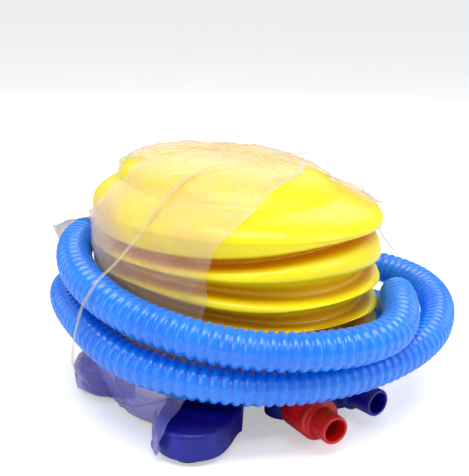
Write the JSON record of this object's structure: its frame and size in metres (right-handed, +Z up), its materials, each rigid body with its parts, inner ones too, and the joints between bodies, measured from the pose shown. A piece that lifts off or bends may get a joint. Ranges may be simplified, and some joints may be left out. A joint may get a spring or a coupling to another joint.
{
  "type": "foot-operated bellows inflation pump",
  "caption": "Round bellows foot pump for balls and inflatables: lobed base, sprung domed bellows, two nozzles, coiled ribbed hose, partly wrapped in clear film.",
  "frame": {"origin": "on the floor, on the bellows axis, under the base", "axes": "+Z up along the bellows axis; -Y towards the operator; the nozzles point to the front right"},
  "size_m": [0.2233, 0.212, 0.1322],
  "materials": {
    "bellows_yellow": "satin",
    "base_blue": "satin",
    "hose_blue": "gloss",
    "nozzle_red": "satin",
    "white_plastic": "matte",
    "black_rubber": "matte",
    "steel": "satin",
    "clear_film": "gloss, see-through"
  },
  "bodies": {
    "base": {"base_plate": "base_blue", "rubber_feet": "black_rubber", "valve_block": "base_blue", "block_gasket": "black_rubber", "block_screws": "steel", "clamp_ring": "base_blue", "clamp_screws": "steel", "bellows_folds": "bellows_yellow", "return_spring": "steel", "outlet_nozzle": "base_blue", "inlet_nozzle": "nozzle_red", "outlet_gasket": "black_rubber", "inlet_gasket": "black_rubber", "outlet_valve_seat": "white_plastic", "inlet_valve_seat": "white_plastic", "hose": "hose_blue", "hose_cuff_pump_end": "hose_blue", "hose_cuff_tip_end": "hose_blue", "hose_tip": "base_blue", "clear_strap": "clear_film"},
    "dome": {"bellows_dome": "bellows_yellow", "spring_plate": "white_plastic", "clear_bag": "clear_film"},
    "outlet_flap_body": {"outlet_flap": "black_rubber"},
    "inlet_flap_body": {"inlet_flap": "black_rubber"}
  },
  "joints": [
    {"name": "bellows_press", "type": "slide", "parent": "base", "child": "dome", "axis": [0, 0, -1], "range_m": [0, 0.038], "stiffness_N_per_m": 900, "springref_m": -0.01, "deforming": ["return_spring", "bellows_folds", "clear_strap"]},
    {"name": "outlet_flap_swing", "type": "hinge", "parent": "base", "child": "outlet_flap_body", "pos_m": [0.05873, -0.03394, 0.01865], "axis": [-0.788, -0.6157, 0], "range_deg": [0, 22]},
    {"name": "inlet_flap_swing", "type": "hinge", "parent": "base", "child": "inlet_flap_body", "pos_m": [0.03647, -0.06191, 0.01865], "axis": [0.8616, 0.5075, 0], "range_deg": [0, 22]}
  ]
}
